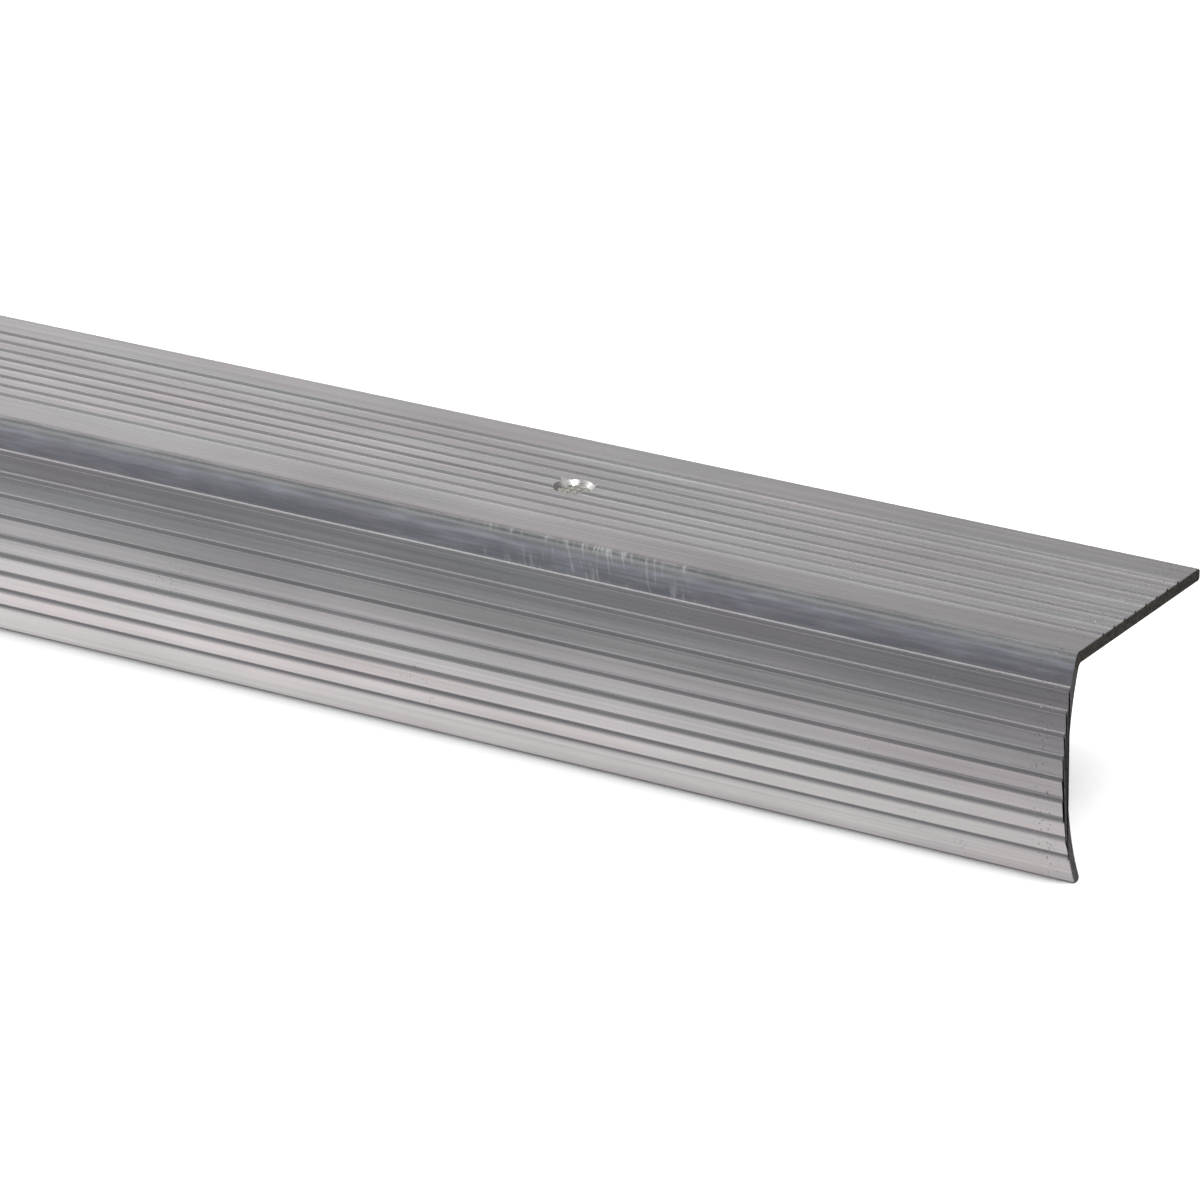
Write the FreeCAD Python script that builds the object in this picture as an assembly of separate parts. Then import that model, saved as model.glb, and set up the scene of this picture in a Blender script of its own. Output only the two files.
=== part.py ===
import FreeCAD, Part
import math
import os

# Fluted stair edging: one extruded aluminium angle and the ring-shank nails that hold it down.
# X runs along the strip, +Y towards the back of the tread, +Z up. The origin is at mid-length,
# on the line of the nail holes, on the underside of the top flange. All sizes are millimetres.

# The strip as a whole
LENGTH = 914.4          # 36 in
DEPTH = 28.6            # smooth front of the bulging leg to the back edge, 1-1/8 in
HEIGHT = 24.6           # flange top to the bottom of the leg
FLANGE_T = 1.3
LEG_T = 1.05

# The curved leg is a slice of a tube whose axis lies behind the strip
LEG_R = 29.6            # outer radius
LEG_AXIS_Z = -10.1
NOSE_R = 0.8            # outside of the bend between flange and leg
FILLET_R = 0.6          # inside of that bend
BACK_EDGE_R = 0.4
LIP_R = 0.4

# Ribs: round beads, partly sunk in the surface
RIB_PITCH = 2.27
RIB_W = 0.75
RIB_H = 0.30
TOP_RIBS = 8
LEG_RIBS = 9
TOP_BAND_MID = -0.05    # middle of the flange's ribs, in front of the line of the nail holes
LEG_RIB_MID_DEG = -1.84 # middle of the leg's ribs, seen from the leg's axis

# Nail holes, in the top band of ribs
HOLES = 6
END_TO_HOLE = 65.0
HOLE_LINE = 15.75       # behind the smooth front of the leg
SINK_D = 4.2            # mouth of the 90 degree countersink, at the flange's top
HOLE_D = 2.4

# Ring-shank nails
NAIL_LENGTH = 22.2      # 7/8 in
SHANK_D = 2.1
HEAD_SUNK = 0.4         # head's top below the flange's top
HEAD_PLAY = 0.05        # between the head's cone and the countersink
NECK_D = 1.9            # the waist under the head, which flares to the full shank
NECK_REACH = 0.5        # where the flare ends, below the flange
RINGS = 11
RING_PITCH = 1.0
RING_DEPTH = 0.12
RING_SLOPE = 0.8        # share of the pitch taken by a ring's long, tapering face
POINT_LENGTH = 3.0
POINT_FLAT_R = 0.1
GRIP_SPACING = 0.8      # grid of small grooves pressed into the head
GRIP_W = 0.3
GRIP_DEPTH = 0.1

FRONT = -HOLE_LINE
BACK = FRONT + DEPTH
BOTTOM = FLANGE_T - HEIGHT
LEG_INNER_R = LEG_R - LEG_T
RIB_R = (RIB_W ** 2 / 4 + RIB_H ** 2) / (2 * RIB_H)
HOLE_PITCH = (LENGTH - 2 * END_TO_HOLE) / (HOLES - 1)


def point(y, z):
    """A point of the cross-section."""
    return FreeCAD.Vector(0, y, z)


LEG_AXIS = point(FRONT + LEG_R, LEG_AXIS_Z)


def beside_leg(z, radius):
    """The point at height z on a circle about the leg's axis, on the leg's side."""
    return point(LEG_AXIS.y - math.sqrt(radius ** 2 - (z - LEG_AXIS.z) ** 2), z)


def onto_leg(centre, radius):
    """The given point moved straight out from the leg's axis onto a circle about it."""
    outward = centre - LEG_AXIS
    outward.normalize()
    return LEG_AXIS + outward * radius


def arc(start, end, centre):
    """The shorter arc from start to end about centre."""
    radius = start.distanceToPoint(centre)
    middle = (start + end) * 0.5 - centre
    middle.normalize()
    return Part.Arc(start, centre + middle * radius, end).toShape()


def smooth_section():
    """The angle without ribs: flat flange, tight nose, curved leg with a rounded lip."""
    nose = beside_leg(FLANGE_T - NOSE_R, LEG_R - NOSE_R)
    lip_front = beside_leg(BOTTOM + LIP_R, LEG_R - LIP_R)
    lip_back = beside_leg(BOTTOM + LIP_R, LEG_INNER_R + LIP_R)
    fillet = beside_leg(-FILLET_R, LEG_INNER_R - FILLET_R)
    edge_y = BACK - BACK_EDGE_R

    # Each corner is a point of the outline and the centre of the arc that leaves it, if any
    outline = [
        (point(edge_y, FLANGE_T), None),
        (point(nose.y, FLANGE_T), nose),
        (onto_leg(nose, LEG_R), LEG_AXIS),
        (onto_leg(lip_front, LEG_R), lip_front),
        (point(lip_front.y, BOTTOM), None),
        (point(lip_back.y, BOTTOM), lip_back),
        (onto_leg(lip_back, LEG_INNER_R), LEG_AXIS),
        (onto_leg(fillet, LEG_INNER_R), fillet),
        (point(fillet.y, 0), None),
        (point(edge_y, 0), point(edge_y, BACK_EDGE_R)),
        (point(BACK, BACK_EDGE_R), None),
        (point(BACK, FLANGE_T - BACK_EDGE_R), point(edge_y, FLANGE_T - BACK_EDGE_R)),
    ]
    edges = []
    for index, (start, centre) in enumerate(outline):
        end = outline[(index + 1) % len(outline)][0]
        edges.append(arc(start, end, centre) if centre else Part.LineSegment(start, end).toShape())
    return Part.Face(Part.Wire(edges))


def spread(count, pitch):
    """Evenly spaced positions, centred on zero."""
    return [(index - (count - 1) / 2) * pitch for index in range(count)]


def rib_centres():
    """Centres of the beads, across the flange and round the leg."""
    sunk = RIB_R - RIB_H
    on_top = [point(TOP_BAND_MID + y, FLANGE_T - sunk) for y in spread(TOP_RIBS, RIB_PITCH)]
    middle = math.radians(LEG_RIB_MID_DEG)
    angles = [middle + turn for turn in spread(LEG_RIBS, RIB_PITCH / LEG_R)]
    reach = LEG_R - sunk
    on_leg = [LEG_AXIS + point(-math.cos(angle), math.sin(angle)) * reach for angle in angles]
    return on_top + on_leg


def rib_disc(centre):
    return Part.Face(Part.Wire(Part.makeCircle(RIB_R, centre, FreeCAD.Vector(1, 0, 0))))


def nail_hole(x):
    """A straight hole through the flange and a cone that also clears the ribs beside it."""
    drill_r = HOLE_D / 2
    mouth_r = SINK_D / 2
    above = 2 * RIB_H
    cone_height = mouth_r - drill_r + above
    cone_foot = FreeCAD.Vector(x, 0, FLANGE_T + above - cone_height)
    cone = Part.makeCone(drill_r, mouth_r + above, cone_height, cone_foot)
    drill = Part.makeCylinder(drill_r, 3 * FLANGE_T, FreeCAD.Vector(x, 0, -FLANGE_T))
    return cone.fuse(drill)


def edging_extrusion():
    """The ribbed section drawn out to full length, with its countersunk holes."""
    section = smooth_section().fuse([rib_disc(centre) for centre in rib_centres()]).removeSplitter()
    blank = section.Faces[0].extrude(FreeCAD.Vector(LENGTH, 0, 0))
    blank.translate(FreeCAD.Vector(-LENGTH / 2, 0, 0))
    holes = [nail_hole(x) for x in spread(HOLES, HOLE_PITCH)]
    return blank.cut(holes)


def nail_profile():
    """Half outline of a nail: (radius, height) points from the head down to the point."""
    neck_r = NECK_D / 2
    shank_r = SHANK_D / 2
    head_top = FLANGE_T - HEAD_SUNK
    head_r = SINK_D / 2 - HEAD_SUNK - HEAD_PLAY
    point_z = head_top - NAIL_LENGTH
    rings_foot = point_z + POINT_LENGTH
    rings_top = rings_foot + RINGS * RING_PITCH

    outline = [(0, head_top), (head_r, head_top), (neck_r, head_top - head_r + neck_r)]
    outline.append((shank_r, -NECK_REACH))
    for ring in range(RINGS):
        crest = rings_top - ring * RING_PITCH
        outline.append((shank_r, crest))
        outline.append((shank_r - RING_DEPTH, crest - RING_PITCH * RING_SLOPE))
    outline += [(shank_r, rings_foot), (POINT_FLAT_R, point_z), (0, point_z)]
    return outline


def fixing_nail(x):
    """A countersunk nail standing in its hole, with a grid pressed into its head."""
    corners = [FreeCAD.Vector(x + radius, 0, z) for radius, z in nail_profile()]
    outline = Part.Face(Part.makePolygon(corners + corners[:1]))
    nail = outline.revolve(FreeCAD.Vector(x, 0, 0), FreeCAD.Vector(0, 0, 1), 360)

    groove_z = FLANGE_T - HEAD_SUNK - GRIP_DEPTH
    cuts = []
    for offset in spread(3, GRIP_SPACING):
        along_x = FreeCAD.Vector(x - SINK_D / 2, offset - GRIP_W / 2, groove_z)
        along_y = FreeCAD.Vector(x + offset - GRIP_W / 2, -SINK_D / 2, groove_z)
        cuts.append(Part.makeBox(SINK_D, GRIP_W, 2 * GRIP_DEPTH, along_x))
        cuts.append(Part.makeBox(GRIP_W, SINK_D, 2 * GRIP_DEPTH, along_y))
    return nail.cut(cuts)


os.makedirs("parts", exist_ok=True)
edging_extrusion().exportStep("parts/edging_extrusion.step")
for number, nail_x in enumerate(spread(HOLES, HOLE_PITCH), start=1):
    fixing_nail(nail_x).exportStep(f"parts/fixing_nail_{number}.step")
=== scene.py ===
import math

import bmesh
import bpy
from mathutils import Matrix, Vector


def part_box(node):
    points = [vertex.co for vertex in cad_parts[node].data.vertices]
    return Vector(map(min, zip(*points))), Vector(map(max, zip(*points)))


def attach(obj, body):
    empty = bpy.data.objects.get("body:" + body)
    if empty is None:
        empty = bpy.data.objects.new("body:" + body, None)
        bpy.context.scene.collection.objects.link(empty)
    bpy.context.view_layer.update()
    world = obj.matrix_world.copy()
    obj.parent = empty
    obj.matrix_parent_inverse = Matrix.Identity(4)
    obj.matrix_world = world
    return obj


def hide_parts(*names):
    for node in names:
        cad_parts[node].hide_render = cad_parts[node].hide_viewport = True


# Fluted stair edging: a mill-finish aluminium angle held down by ring-shank nails.
# Lengths are in metres, with MM to write them in millimetres. X runs along the strip,
# +Y towards the back of the tread, +Z up. The origin is on the underside of the flange.
MM = 0.001

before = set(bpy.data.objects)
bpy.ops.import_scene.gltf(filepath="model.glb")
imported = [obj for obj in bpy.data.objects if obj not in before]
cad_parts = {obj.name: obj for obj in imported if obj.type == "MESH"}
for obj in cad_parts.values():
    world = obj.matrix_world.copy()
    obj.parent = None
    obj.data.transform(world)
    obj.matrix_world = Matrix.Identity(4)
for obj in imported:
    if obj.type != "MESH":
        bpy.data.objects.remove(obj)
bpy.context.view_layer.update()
STRIP = "edging_extrusion"
NAILS = sorted(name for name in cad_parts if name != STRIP)
strip_low, strip_high = (Vector(corner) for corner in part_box(STRIP))

# Section of the strip, with the sizes of the CAD
HALF_LENGTH = strip_high.x
BACK = strip_high.y
BOTTOM = strip_low.z
FLANGE_T = 1.3 * MM
LEG_T = 1.05 * MM
RIB_H = 0.30 * MM
LEG_R = 29.6 * MM
LEG_AXIS_Z = -10.1 * MM
FRONT = -15.75 * MM      # smooth front of the leg, between its ribs
NOSE_R = 0.8 * MM
FILLET_R = 0.6 * MM
EDGE_R = 0.4 * MM
RIB_PITCH = 2.27 * MM
TOP_RIBS = 8
LEG_RIBS = 9
TOP_BAND_MID = -0.05 * MM
LEG_RIB_MID = math.radians(-1.84)
SINK_R = 2.1 * MM
HOLE_R = 1.2 * MM

# Fine shape that the CAD leaves plain
CREST_R = 0.06 * MM      # round top of a flange rib
FOOT_R = 0.06 * MM       # fillet where a rib meets the surface
RIB_FLANK = math.radians(48)
# A leg rib is a ramp with a steep foot above, a shallow run, and a steep wall below
STEEP, RUN, CREST, WALL = (math.radians(angle) for angle in (56, 28, 8, 82))
STEEP_LENGTH = 0.165 * MM
TURN_R, RUN_R, WALL_R = 0.05 * MM, 1.2 * MM, 0.05 * MM
RAMP_FOOT_R = 0.04 * MM
RAMP_FOOT = 0.29 * MM    # upper foot of a leg rib, above the rib's middle
GUARD = 0.04 * MM        # extra point beside each fillet, which keeps the flats flat
ARC_STEP = math.radians(9)
LEG_STEP = 0.5 * MM
SAW_CHAMFER = 0.05 * MM  # broken edge round a sawn end
RIM_ROUND = 0.08 * MM    # softened mouth of a countersink
HOLE_SEGMENTS = 96
SAWN, DRILLED = 1, 2     # places of these materials on the strip, after the mill finish
SHARP_ANGLE = math.radians(32)

LEG_AXIS = Vector((FRONT + LEG_R, LEG_AXIS_Z))


# ---------------------------------------------------------------- section

def spread(count, pitch):
    """Evenly spaced positions, centred on zero."""
    return [(index - (count - 1) / 2) * pitch for index in range(count)]


def arc(centre, radius, start, end):
    """Points (y, z) on an arc, from one angle to another."""
    steps = max(2, math.ceil(abs(end - start) / ARC_STEP))
    angles = [start + (end - start) * step / steps for step in range(steps + 1)]
    return [centre + Vector((math.cos(a), math.sin(a))) * radius for a in angles]


def top_rib():
    """(offset, height) points over one flange rib, with a guard point at each side."""
    up = math.pi / 2
    rounds = CREST_R + FOOT_R
    flank_run = (RIB_H - rounds * (1 - math.cos(RIB_FLANK))) / math.tan(RIB_FLANK)
    reach = flank_run + rounds * math.sin(RIB_FLANK)
    crest = arc(Vector((0, RIB_H - CREST_R)), CREST_R, up + RIB_FLANK, up - RIB_FLANK)
    left_foot = arc(Vector((-reach, FOOT_R)), FOOT_R, -up, RIB_FLANK - up)
    right_foot = arc(Vector((reach, FOOT_R)), FOOT_R, -up - RIB_FLANK, -up)
    guard = Vector((reach + GUARD, 0))
    return [-guard] + left_foot + crest + right_foot + [guard]


def leg_rib():
    """The same for a leg rib, from its upper foot down the ramp and back up the wall."""
    up = math.pi / 2
    profile = arc(Vector((-RAMP_FOOT, RAMP_FOOT_R)), RAMP_FOOT_R, -up, STEEP - up)
    profile.append(profile[-1] + Vector((math.cos(STEEP), math.sin(STEEP))) * STEEP_LENGTH)
    for radius, start, end in ((TURN_R, STEEP, RUN), (RUN_R, RUN, CREST), (WALL_R, CREST, -WALL)):
        facing = Vector((-math.sin(start), math.cos(start)))
        profile += arc(profile[-1] - facing * radius, radius, up + start, up + end)[1:]
    base = Vector((profile[-1].x + profile[-1].y / math.tan(WALL), 0))
    guard = Vector((GUARD, 0))
    return [profile[0] - guard] + profile + [base, base + guard]


def leg_point(radius, angle):
    """A point at this radius from the leg's axis, angle measured up from straight ahead."""
    return LEG_AXIS + Vector((-math.cos(angle), math.sin(angle))) * radius


def leg_angle(z, radius):
    """The angle at which a circle of this radius about the leg's axis is at height z."""
    return math.asin((z - LEG_AXIS.y) / radius)


def leg_run(radius, start, end):
    """Points along the curved leg, close enough together for a smooth curve."""
    steps = max(1, round(abs(end - start) * radius / LEG_STEP))
    return [leg_point(radius, start + (end - start) * step / steps) for step in range(steps + 1)]


def corner(centre, radius, start, end):
    """A rounded corner, turned the short way from direction start to direction end."""
    first = math.atan2(start.y, start.x)
    turn = (math.atan2(end.y, end.x) - first + math.pi) % (2 * math.pi) - math.pi
    return arc(centre, radius, first, first + turn)


def section():
    """The outline of the extrusion, from the back edge over the top and down the leg."""
    top, front = top_rib(), leg_rib()
    inner_r = LEG_R - LEG_T
    up, down, back = Vector((0, 1)), Vector((0, -1)), Vector((1, 0))
    nose = leg_point(LEG_R - NOSE_R, leg_angle(FLANGE_T - NOSE_R, LEG_R - NOSE_R))
    lip_front = leg_point(LEG_R - EDGE_R, leg_angle(BOTTOM + EDGE_R, LEG_R - EDGE_R))
    lip_back = leg_point(inner_r + EDGE_R, leg_angle(BOTTOM + EDGE_R, inner_r + EDGE_R))
    fillet = leg_point(inner_r - FILLET_R, leg_angle(-FILLET_R, inner_r - FILLET_R))
    edge_top = Vector((BACK - EDGE_R, FLANGE_T - EDGE_R))
    edge_low = Vector((BACK - EDGE_R, EDGE_R))
    away = [(point - LEG_AXIS).normalized() for point in (nose, lip_front, lip_back, fillet)]

    outline = corner(edge_top, EDGE_R, back, up)
    outline.append(Vector((edge_top.x - GUARD, FLANGE_T)))
    for y in sorted(spread(TOP_RIBS, RIB_PITCH), reverse=True):
        outline += [Vector((TOP_BAND_MID + y - offset, FLANGE_T + height)) for offset, height in top]
    outline.append(Vector((nose.x + GUARD, FLANGE_T)))
    outline += corner(nose, NOSE_R, up, away[0])

    at = leg_angle(nose.y, LEG_R - NOSE_R)
    for turn in sorted(spread(LEG_RIBS, RIB_PITCH / LEG_R), reverse=True):
        middle = LEG_RIB_MID + turn
        outline += leg_run(LEG_R, at, middle - front[0].x / LEG_R)[1:-1]
        outline += [leg_point(LEG_R + height, middle - offset / LEG_R) for offset, height in front]
        at = middle - front[-1].x / LEG_R
    lip_angle = leg_angle(lip_front.y, LEG_R - EDGE_R)
    outline += leg_run(LEG_R, at, lip_angle)[1:-1]
    outline += corner(lip_front, EDGE_R, away[1], down)
    outline += corner(lip_back, EDGE_R, down, -away[2])
    start = leg_angle(lip_back.y, inner_r + EDGE_R)
    outline += leg_run(inner_r, start, leg_angle(fillet.y, inner_r - FILLET_R))[1:-1]
    outline += corner(fillet, FILLET_R, away[3], up)
    outline.append(Vector((fillet.x + GUARD, 0)))
    outline.append(Vector((edge_low.x - GUARD, 0)))
    outline += corner(edge_low, EDGE_R, down, back)
    return outline


def pulled_in(outline, distance):
    """The outline moved inwards by a small distance along its own normals."""
    moved = []
    for index, point in enumerate(outline):
        along = outline[(index + 1) % len(outline)] - outline[index - 1]
        normal = Vector((along.y, -along.x)).normalized()
        moved.append(point - normal * distance)
    return moved


# ---------------------------------------------------------------- strip

def new_object(name, mesh):
    """An object in the scene that shows this mesh."""
    piece = bpy.data.objects.new(name, mesh)
    bpy.context.scene.collection.objects.link(piece)
    return piece


def extruded(name, outline):
    """The section drawn out along X, with a small chamfer at each sawn end."""
    small = pulled_in(outline, SAW_CHAMFER)
    inner = HALF_LENGTH - SAW_CHAMFER
    stations = [(-HALF_LENGTH, small), (-inner, outline), (inner, outline), (HALF_LENGTH, small)]
    build = bmesh.new()
    rings = [[build.verts.new((x, y, z)) for y, z in ring] for x, ring in stations]
    count = len(outline)
    for ring, following in zip(rings, rings[1:]):
        for index in range(count):
            after = (index + 1) % count
            build.faces.new((ring[index], following[index], following[after], ring[after]))
    for end in (rings[0], rings[-1]):
        build.faces.new(end).material_index = SAWN
    bmesh.ops.recalc_face_normals(build, faces=build.faces)
    mesh = bpy.data.meshes.new(name)
    build.to_mesh(mesh)
    build.free()
    return mesh


def lathe(build, x, profile):
    """A closed solid turned about the vertical axis at x. The profile starts and ends on the axis."""
    turns = [2 * math.pi * step / HOLE_SEGMENTS for step in range(HOLE_SEGMENTS)]
    rings = []
    for radius, z in profile:
        angles = turns if radius else turns[:1]
        spots = [(x + radius * math.cos(a), radius * math.sin(a), z) for a in angles]
        rings.append([build.verts.new(spot) for spot in spots])
    for ring, following in zip(rings, rings[1:]):
        for step in range(HOLE_SEGMENTS):
            after = (step + 1) % HOLE_SEGMENTS
            corners = [ring[step % len(ring)], following[step % len(following)],
                       following[after % len(following)], ring[after % len(ring)]]
            build.faces.new(list(dict.fromkeys(corners)))


def hole_cutters(places):
    """Solids the shape of a drilled and countersunk hole, one at each place along X."""
    above = 3 * RIB_H
    profile = [
        (0, -FLANGE_T), (HOLE_R, -FLANGE_T), (HOLE_R, FLANGE_T - (SINK_R - HOLE_R)),
        (SINK_R - RIM_ROUND, FLANGE_T - RIM_ROUND),
        (SINK_R + RIM_ROUND, FLANGE_T + RIM_ROUND / 2),
        (SINK_R + above, FLANGE_T + above), (0, FLANGE_T + above),
    ]
    build = bmesh.new()
    for x in places:
        lathe(build, x, profile)
    bmesh.ops.recalc_face_normals(build, faces=build.faces)
    for face in build.faces:
        face.material_index = DRILLED
    mesh = bpy.data.meshes.new("hole_cutters")
    build.to_mesh(mesh)
    build.free()
    return new_object("hole_cutters", mesh)


def nail_places():
    """Where the nails stand along X."""
    return [(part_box(name)[0][0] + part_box(name)[1][0]) / 2 for name in NAILS]


def build_strip():
    """The strip with its holes cut, shown in place of the CAD's plain one."""
    piece = new_object("fluted_strip", extruded("fluted_strip", section()))
    for material in (mill_aluminium(), sawn_aluminium(), drilled_aluminium()):
        piece.data.materials.append(material)
    cutters = hole_cutters(nail_places())
    cut = piece.modifiers.new("holes", "BOOLEAN")
    cut.operation = "DIFFERENCE"
    cut.solver = "EXACT"
    cut.object = cutters
    bpy.context.view_layer.update()
    depsgraph = bpy.context.evaluated_depsgraph_get()
    mesh = bpy.data.meshes.new_from_object(piece.evaluated_get(depsgraph))
    piece.modifiers.clear()
    piece.data = mesh
    bpy.data.objects.remove(cutters)
    mesh.shade_smooth()
    mesh.set_sharp_from_angle(angle=SHARP_ANGLE)
    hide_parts(STRIP)
    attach(piece, "strip")


# ---------------------------------------------------------------- materials

# Materials work in millimetres, on the object's own coordinates.
# These tints colour the painted highlight and shade bands over the nose; the last one tints the bright
# painted highlight line.
NEUTRAL, BLUISH, TEAL, SHEEN = (1, 1, 1), (0.97, 0.99, 1.05), (0.975, 1.01, 1.0), (0.99, 1.01, 0.985)
SCUFF_SPACING = 97.0     # between scuffed patches along the nose
SCUFF_AT = 404.0         # the middle of one of them
SCUFF_PHASE = -2 * math.pi * SCUFF_AT / SCUFF_SPACING
OFF_AXES = (0.5, 0.7, 0.9)  # turns, in radians
NOSE_SHADING_LOW, NOSE_SHADING_SPAN = -2.6, 4.0  # the heights that the colours below are spread over
# Colours over the nose, from below: (height, tint, tone). These tones are painted highlight and painted
# shade across the bend: a dark band just under the top, a bright line below it, and lighter and darker
# bluish bands further down.
PAINTED_NOSE_SHADING = [
    (-1.9, NEUTRAL, 1.0), (-1.5, BLUISH, 0.84), (-0.7, BLUISH, 0.93), (-0.3, BLUISH, 1.08),
    (0.22, BLUISH, 1.42), (0.42, TEAL, 1.16), (0.62, TEAL, 1.25), (0.78, SHEEN, 1.68),
    (0.9, SHEEN, 1.42), (1.02, TEAL, 0.72), (1.12, TEAL, 0.42), (1.25, NEUTRAL, 0.40),
    (1.32, NEUTRAL, 0.7),
]
HUES = [(0.3, (0.99, 1.005, 1.0, 1)), (0.5, (1.0, 0.985, 0.995, 1)), (0.7, (1.02, 0.97, 0.99, 1))]
PITTING = [(0.33, (0.43, 0.45, 0.46, 1)), (0.5, (0.5, 0.5, 0.5, 1)), (0.68, (0.58, 0.61, 0.62, 1))]
UNHALVE = (4.0, 4.0, 4.0, 1)  # makes up for the painted highlight and shade and the pitting, each held at half


class Graph:
    """Builds a node tree. Any input takes either a plain value or another node's output."""

    def __init__(self, tree):
        self.tree = tree

    def node(self, kind, inputs=None, **settings):
        """A new shader node with these inputs and settings."""
        made = self.tree.nodes.new("ShaderNode" + kind)
        for name, value in settings.items():
            setattr(made, name, value)
        for name, value in (inputs or {}).items():
            self.feed(made.inputs[name], value)
        return made

    def feed(self, socket, value):
        """Links another node's output to the socket, or writes a plain value on it."""
        if isinstance(value, bpy.types.NodeSocket):
            self.tree.links.new(value, socket)
        else:
            socket.default_value = value

    def math(self, operation, *values):
        """One step of arithmetic on plain values or other nodes' outputs."""
        return self.node("Math", dict(enumerate(values)), operation=operation).outputs[0]

    def remap(self, value, low, high, to_low=0.0, to_high=1.0):
        """A soft step from to_low to to_high while the value goes from low to high."""
        inputs = {"Value": value, "From Min": low, "From Max": high}
        inputs.update({"To Min": to_low, "To Max": to_high})
        return self.node("MapRange", inputs, interpolation_type="SMOOTHSTEP").outputs["Result"]

    def mix(self, factor, first, second, blend="MIX"):
        """Two colours mixed. The colour sockets of the node are 6 and 7."""
        made = self.node("Mix", {0: factor, 6: first, 7: second}, data_type="RGBA", blend_type=blend)
        return made.outputs[2]

    def times(self, first, *others):
        """Values multiplied together."""
        for other in others:
            first = self.math("MULTIPLY", first, other)
        return first

    def tinted(self, first, second):
        """Two colours multiplied."""
        return self.mix(1.0, first, second, "MULTIPLY")

    def ramp(self, value, rows):
        """The colour at this value, from (place, colour) rows."""
        made = self.node("ValToRGB", {0: value})
        elements = made.color_ramp.elements
        for place, _ in rows[len(elements):]:
            elements.new(place)
        for element, (place, colour) in zip(elements, rows):
            element.position = place
            element.color = colour
        return made.outputs["Color"]

    def split(self, vector):
        return self.node("SeparateXYZ", {0: vector}).outputs[:3]

    def stretched(self, vector, scale):
        return self.node("VectorMath", {0: vector, 1: scale}, operation="MULTIPLY").outputs[0]

    def turned(self, vector):
        """The coordinates turned off the axes, so that no pattern lines up with a flat face."""
        inputs = {"Vector": vector, "Rotation": OFF_AXES}
        return self.node("VectorRotate", inputs, rotation_type="EULER_XYZ").outputs[0]

    def noise(self, vector, scale=1.0, detail=2):
        return self.node("TexNoise", {"Vector": vector, "Scale": scale, "Detail": detail}).outputs["Fac"]

    def total(self, parts, start=0.0):
        """The start value plus each part times its weight."""
        for value, weight in parts:
            start = self.math("MULTIPLY_ADD", value, weight, start)
        return start

    def remap_straight(self, value, low, high):
        """The same as remap, in a straight line from 0 to 1."""
        made = self.node("MapRange", {"Value": value, "From Min": low, "From Max": high})
        return made.outputs["Result"]

    def grey(self, value):
        return self.node("CombineColor", {0: value, 1: value, 2: value}).outputs[0]

    def specks(self, vector, scale, size, softness):
        """Scattered small spots, one or none in each cell of a stretched grid."""
        cells = self.node("TexVoronoi", {"Vector": self.stretched(vector, scale)}, feature="F1")
        return self.remap(cells.outputs["Distance"], size, size - softness)

    def bump(self, shader, height, distance):
        made = self.node("Bump", {"Height": height, "Distance": distance, "Strength": 1.0})
        self.feed(shader.inputs["Normal"], made.outputs["Normal"])


def metal(name, roughness):
    """A bare metal, with its shader, its graph and the object's own coordinates."""
    material = bpy.data.materials.new(name)
    material.use_nodes = True
    graph = Graph(material.node_tree)
    shader = material.node_tree.nodes["Principled BSDF"]
    shader.inputs["Metallic"].default_value = 1.0
    shader.inputs["Roughness"].default_value = roughness
    here = graph.stretched(graph.node("TexCoord").outputs["Object"], (1000, 1000, 1000))
    return material, shader, graph, here


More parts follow.
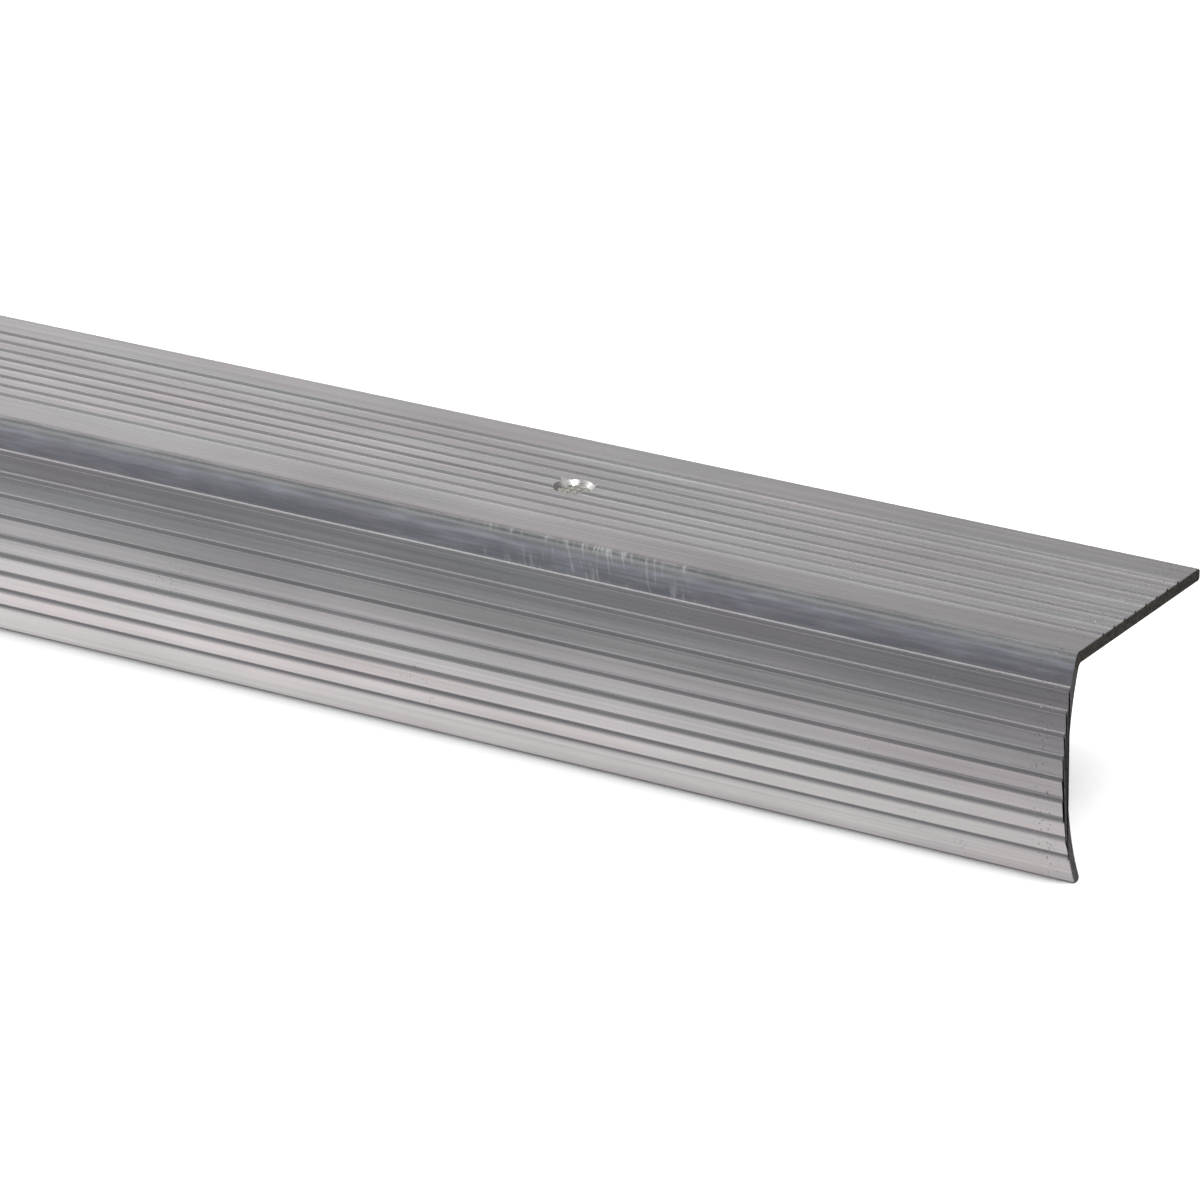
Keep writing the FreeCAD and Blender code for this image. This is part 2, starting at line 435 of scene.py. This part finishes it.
def mill_aluminium():
    """Extruded aluminium as it leaves the mill: fine die lines, soft bands and a scuffed nose, with
    painted highlight, glints and shade over the nose.
    """
    material, shader, graph, here = metal("mill_aluminium", 0.3)
    x, y, z = graph.split(here)
    lines = graph.noise(graph.stretched(here, (0.011, 2.9, 2.9)), detail=2)
    bands = graph.noise(graph.stretched(here, (0.008, 0.42, 0.42)), detail=2)
    clouds = graph.noise(graph.stretched(here, (0.05, 0.22, 0.22)), detail=3)
    turned = graph.turned(here)
    grain = graph.noise(turned, scale=3.2, detail=3)
    hue = graph.noise(graph.stretched(here, (0.035, 0.3, 0.3)), detail=2)

    # The smooth strip of the leg above the first rib, and the bend over it
    behind = graph.math("SUBTRACT", y, LEG_AXIS.x / MM)
    above = graph.math("SUBTRACT", z, LEG_AXIS.y / MM)
    squared = graph.math("MULTIPLY_ADD", behind, behind, graph.times(above, above))
    from_axis = graph.math("SQRT", squared)
    inner = (LEG_R - LEG_T) / MM
    outside = graph.remap(from_axis, inner + 0.2, inner + 0.4)
    nose = graph.times(outside, graph.remap(z, -1.95, -1.65), graph.remap(z, 1.31, 1.28))
    # Painted highlight and painted shade: bands of tone across the nose, set by height
    rows = [((height - NOSE_SHADING_LOW) / NOSE_SHADING_SPAN, [part * tone * 0.5 for part in tint] + [1])
            for height, tint, tone in PAINTED_NOSE_SHADING]
    nose_shading = graph.ramp(graph.remap_straight(z, NOSE_SHADING_LOW, NOSE_SHADING_LOW + NOSE_SHADING_SPAN), rows)

    tone = graph.total([(lines, 0.30), (bands, 0.18), (clouds, 0.20), (grain, 0.06)], 0.25)
    colour = graph.tinted(graph.ramp(hue, HUES), graph.grey(tone))
    pits = graph.noise(graph.stretched(here, (0.22, 1.5, 1.5)), detail=5)
    nosed = graph.tinted(graph.tinted(colour, nose_shading), graph.ramp(pits, PITTING))
    colour = graph.mix(nose, colour, graph.tinted(nosed, UNHALVE))

    # Scuffs run down the bend in patches along the strip. Bright specks and a broken light line along its
    # edge are painted glints and a painted highlight.
    wave = graph.math("MULTIPLY_ADD", x, 2 * math.pi / SCUFF_SPACING, SCUFF_PHASE)
    patch = graph.total([(graph.math("COSINE", wave), 1.0), (clouds, 1.6)], -0.8)
    slanted = graph.node("CombineXYZ", {0: graph.total([(x, 2.2), (z, 0.9)]), 1: graph.times(z, 0.35)})
    scratches = graph.remap(graph.noise(slanted.outputs[0], detail=3), 0.5, 0.68)
    scuffs = graph.times(scratches, graph.remap(patch, 0.35, 1.0), nose)
    # Painted glints: bright spots along the edge, and a few elsewhere
    specks = graph.specks(turned, (1.2, 1.5, 1.5), 0.2, 0.13)
    on_edge = graph.times(graph.remap(z, 0.45, 0.8), nose)
    strays = graph.remap(graph.noise(turned, scale=0.13), 0.6, 0.7)
    bright = graph.times(specks, graph.math("MAXIMUM", on_edge, graph.times(strays, 0.5)))
    # Painted highlight: a broken light line along the arris
    along = graph.node("CombineXYZ", {0: graph.times(x, 1.3), 1: graph.times(z, 2.5)})
    painted_edge_highlight = graph.remap(graph.noise(along.outputs[0], detail=4), 0.46, 0.66)
    arris = graph.times(graph.remap(z, 0.5, 0.75), graph.remap(z, 1.05, 0.85))
    painted_edge_highlight = graph.times(painted_edge_highlight, arris, nose, graph.remap(bands, 0.35, 0.55))
    colour = graph.mix(graph.times(scuffs, 0.4), colour, (0.83, 0.86, 0.85, 1))
    colour = graph.mix(graph.times(painted_edge_highlight, 0.6), colour, (0.84, 0.88, 0.86, 1))
    colour = graph.mix(graph.times(bright, 0.85), colour, (0.95, 0.95, 0.93, 1))

    # Small nicks from handling: many near the sawn ends, few elsewhere
    from_end = graph.math("SUBTRACT", HALF_LENGTH / MM, graph.math("ABSOLUTE", x))
    near_end = graph.times(graph.remap(from_end, 0.9, 1.6), graph.remap(from_end, 4.2, 3.0))
    dents = graph.specks(turned, (0.6, 0.5, 0.45), 0.24, 0.12)
    scarce = graph.remap(graph.noise(turned, scale=0.11), 0.64, 0.7)
    nicks = graph.times(dents, graph.math("MAXIMUM", near_end, graph.times(scarce, 0.6)))
    colour = graph.mix(graph.times(nicks, 0.75), colour, (0.1, 0.1, 0.1, 1))

    graph.feed(shader.inputs["Base Color"], colour)
    rough = graph.total([(lines, 0.12), (grain, 0.1), (scuffs, 0.2), (nose, 0.05), (nicks, 0.2)], 0.19)
    graph.feed(shader.inputs["Roughness"], rough)
    height = graph.total([(lines, 1.0), (bands, 1.2), (grain, 0.35), (scuffs, 0.15), (nicks, -5.0)])
    graph.bump(shader, height, 3.2e-6)
    return material


def sawn_aluminium():
    """A cut end: torn, dark metal with the saw's coarse marks across it."""
    material, shader, graph, here = metal("sawn_aluminium", 0.5)
    _, y, z = graph.split(here)
    across, along = graph.total([(y, 5.5), (z, 2.4)]), graph.total([(z, 0.9), (y, -0.5)])
    marks = graph.noise(graph.node("CombineXYZ", {1: across, 2: along}).outputs[0], detail=4)
    crumbs = graph.noise(graph.turned(here), scale=6.5, detail=4)
    tone = graph.total([(marks, 1.7), (crumbs, 2.0)], -1.4)
    dark = graph.mix(tone, (0.07, 0.058, 0.048, 1), (0.44, 0.41, 0.37, 1))
    pale = graph.mix(tone, (0.22, 0.22, 0.225, 1), (0.72, 0.71, 0.71, 1))
    graph.feed(shader.inputs["Base Color"], graph.mix(graph.remap(z, 0.6, -1.2), dark, pale))
    graph.feed(shader.inputs["Roughness"], graph.total([(crumbs, 0.3), (marks, 0.1)], 0.33))
    graph.bump(shader, graph.total([(marks, 1.0), (crumbs, 0.8)]), 14e-6)
    return material


def drilled_aluminium():
    """The drilled and countersunk holes: bright metal with the cutter's fine rings."""
    material, shader, graph, here = metal("drilled_aluminium", 0.3)
    rings = graph.noise(graph.stretched(here, (0.25, 0.25, 11)), detail=3)
    smears = graph.noise(graph.turned(here), scale=2.2, detail=3)
    tone = graph.total([(rings, 0.35), (smears, 0.25)], 0.36)
    graph.feed(shader.inputs["Base Color"], graph.tinted((1.0, 0.99, 0.96, 1), graph.grey(tone)))
    graph.feed(shader.inputs["Roughness"], graph.total([(rings, 0.14), (smears, 0.1)], 0.16))
    graph.bump(shader, graph.total([(rings, 1.0), (smears, 0.5)]), 5e-6)
    return material


def plated_steel():
    """Dull zinc plating on a cold-headed nail: mottled, greenish grey, with browner worn spots."""
    material, shader, graph, here = metal("plated_steel", 0.4)
    mottle = graph.noise(graph.turned(here), scale=1.3, detail=4)
    spangle = graph.noise(graph.turned(here), scale=4.5, detail=3)
    rub = graph.noise(graph.stretched(here, (2.5, 2.5, 0.25)), detail=3)
    tone = graph.total([(mottle, 0.5), (spangle, 0.4), (rub, 0.25)], -0.08)
    colour = graph.mix(tone, (0.5, 0.5, 0.45, 1), (0.95, 0.95, 0.9, 1))
    worn = graph.remap(graph.noise(here, scale=0.9, detail=3), 0.6, 0.75)
    colour = graph.mix(graph.times(worn, 0.3), colour, (0.34, 0.3, 0.25, 1))
    graph.feed(shader.inputs["Base Color"], colour)
    graph.feed(shader.inputs["Roughness"], graph.total([(spangle, 0.25), (mottle, 0.15)], 0.22))
    graph.feed(shader.inputs["Metallic"], graph.remap(worn, 0.0, 1.0, 1.0, 0.8))
    graph.bump(shader, graph.total([(spangle, 1.0), (mottle, 1.2), (rub, 0.5)]), 9e-6)
    return material


def finish_nails():
    """The CAD's nails, with the plating on them."""
    steel = plated_steel()
    for name in NAILS:
        nail = bpy.data.objects[name]
        nail.data.materials.clear()
        nail.data.materials.append(steel)


# ---------------------------------------------------------------- stage

# The camera stands to the right of straight ahead and above, and aims near the right end.
VIEW_AZIMUTH = math.radians(31.2)
VIEW_ELEVATION = math.radians(21.72)
VIEW_DISTANCE = 0.7072
AIM_FROM_END = 52.3 * MM
AIM_Z = -3.2 * MM
LENS_MM = 212.6
SENSOR_MM = 36
FLOOR_REACH = 4.0
BACKDROP = (0.95, 0.95, 0.95, 1)
WHITE = (1, 1, 1)


def add_camera():
    data = bpy.data.cameras.new("camera")
    data.lens = LENS_MM
    data.sensor_width = SENSOR_MM
    camera = bpy.data.objects.new("camera", data)
    bpy.context.scene.collection.objects.link(camera)
    aim = Vector((HALF_LENGTH - AIM_FROM_END, FRONT, AIM_Z))
    flat, rise = math.cos(VIEW_ELEVATION), math.sin(VIEW_ELEVATION)
    towards = Vector((math.sin(VIEW_AZIMUTH) * flat, -math.cos(VIEW_AZIMUTH) * flat, rise))
    camera.location = aim + towards * VIEW_DISTANCE
    camera.rotation_euler = towards.to_track_quat("Z", "Y").to_euler()
    bpy.context.scene.camera = camera


def area_light(name, place, aim, size, power):
    """A white lamp that the camera doesn't see."""
    data = bpy.data.lights.new(name, "AREA")
    data.shape = "RECTANGLE"
    data.size, data.size_y = size
    data.energy = power
    data.color = WHITE
    light = bpy.data.objects.new(name, data)
    bpy.context.scene.collection.objects.link(light)
    light.location = place
    light.rotation_euler = (Vector(place) - Vector(aim)).to_track_quat("Z", "Y").to_euler()
    light.visible_camera = False
    return light


def add_floor():
    """A pale floor that the leg stands on, which the metal doesn't mirror."""
    mesh = bpy.data.meshes.new("floor")
    signs = [(-1, -1), (1, -1), (1, 1), (-1, 1)]
    corners = [(across * FLOOR_REACH, along * FLOOR_REACH, BOTTOM) for across, along in signs]
    mesh.from_pydata(corners, [], [(0, 1, 2, 3)])
    floor = new_object("floor", mesh)
    material = bpy.data.materials.new("floor")
    material.use_nodes = True
    graph = Graph(material.node_tree)
    shader = material.node_tree.nodes["Principled BSDF"]
    cloud = graph.noise(graph.node("TexCoord").outputs["Object"], scale=7.0, detail=3)
    graph.feed(shader.inputs["Base Color"], graph.mix(cloud, (0.90, 0.90, 0.90, 1), (0.93, 0.93, 0.93, 1)))
    shader.inputs["Roughness"].default_value = 0.9
    mesh.materials.append(material)
    floor.visible_glossy = False


# Tones of the room round the strip, by angle from straight ahead, where 90 is overhead, 180 is
# behind and -90 is straight down: (degrees, tone towards the left, tone towards the right, tint).
WARM, COOL, PLAIN = (1.03, 0.99, 0.985), (0.985, 0.99, 1.04), (1.015, 0.99, 1.0)
ROOM_TONES = [
    (-180, 0.50, 0.28, PLAIN), (-150, 0.20, 0.10, WARM), (-100, 0.20, 0.10, WARM),
    (-84, 1.02, 0.35, WARM), (-72, 1.65, 0.57, WARM), (-48, 1.45, 0.50, WARM),
    (-32, 0.98, 0.40, PLAIN), (-10, 0.39, 0.21, COOL), (14, 0.36, 0.155, COOL),
    (55, 0.32, 0.14, COOL), (75, 0.55, 0.25, COOL), (84, 1.05, 0.42, PLAIN),
    (95, 1.95, 0.76, PLAIN), (113, 1.80, 0.70, PLAIN), (132, 0.85, 0.22, PLAIN),
    (156, 1.06, 0.195, PLAIN), (180, 0.50, 0.28, PLAIN),
]
ROOM_LEFT, ROOM_RIGHT = -0.75, -0.25  # where one tone gives way to the other


def room_light():
    """A soft studio for the metal to mirror: pale overhead and below, dim in front, and
    brighter towards the left. The camera itself sees a plain backdrop."""
    world = bpy.data.worlds.new("studio")
    bpy.context.scene.world = world
    world.use_nodes = True
    graph = Graph(world.node_tree)
    split = graph.node("SeparateXYZ", {0: graph.node("TexCoord").outputs["Generated"]})
    angle = graph.math("ARCTAN2", split.outputs["Z"], graph.math("MULTIPLY", split.outputs["Y"], -1))
    around = graph.math("MULTIPLY_ADD", angle, 0.5 / math.pi, 0.5)
    sides = []
    for side in (0, 1):
        rows = [((degrees + 180) / 360, [tones[side] * part for part in tint] + [1])
                for degrees, *tones, tint in ROOM_TONES]
        sides.append(graph.ramp(around, rows))
    towards_right = graph.remap(split.outputs["X"], ROOM_LEFT, ROOM_RIGHT)
    tone = graph.mix(towards_right, *sides)
    tone = graph.mix(graph.node("LightPath").outputs["Is Camera Ray"], tone, BACKDROP)
    graph.feed(world.node_tree.nodes["Background"].inputs["Color"], tone)


def light_stage():
    """Light for the floor from overhead, a small lamp for the bright metal, and the room."""
    end = (HALF_LENGTH, 0, 0)
    overhead = area_light("overhead", (2.3, -0.75, 3.0), end, (2.5, 2.5), 165)
    overhead.visible_glossy = False
    area_light("sparkle", (0.58, -0.50, 1.30), end, (0.5, 0.5), 7)
    room_light()
    bpy.context.scene.view_settings.view_transform = "Standard"


build_strip()
finish_nails()
add_floor()
light_stage()
add_camera()
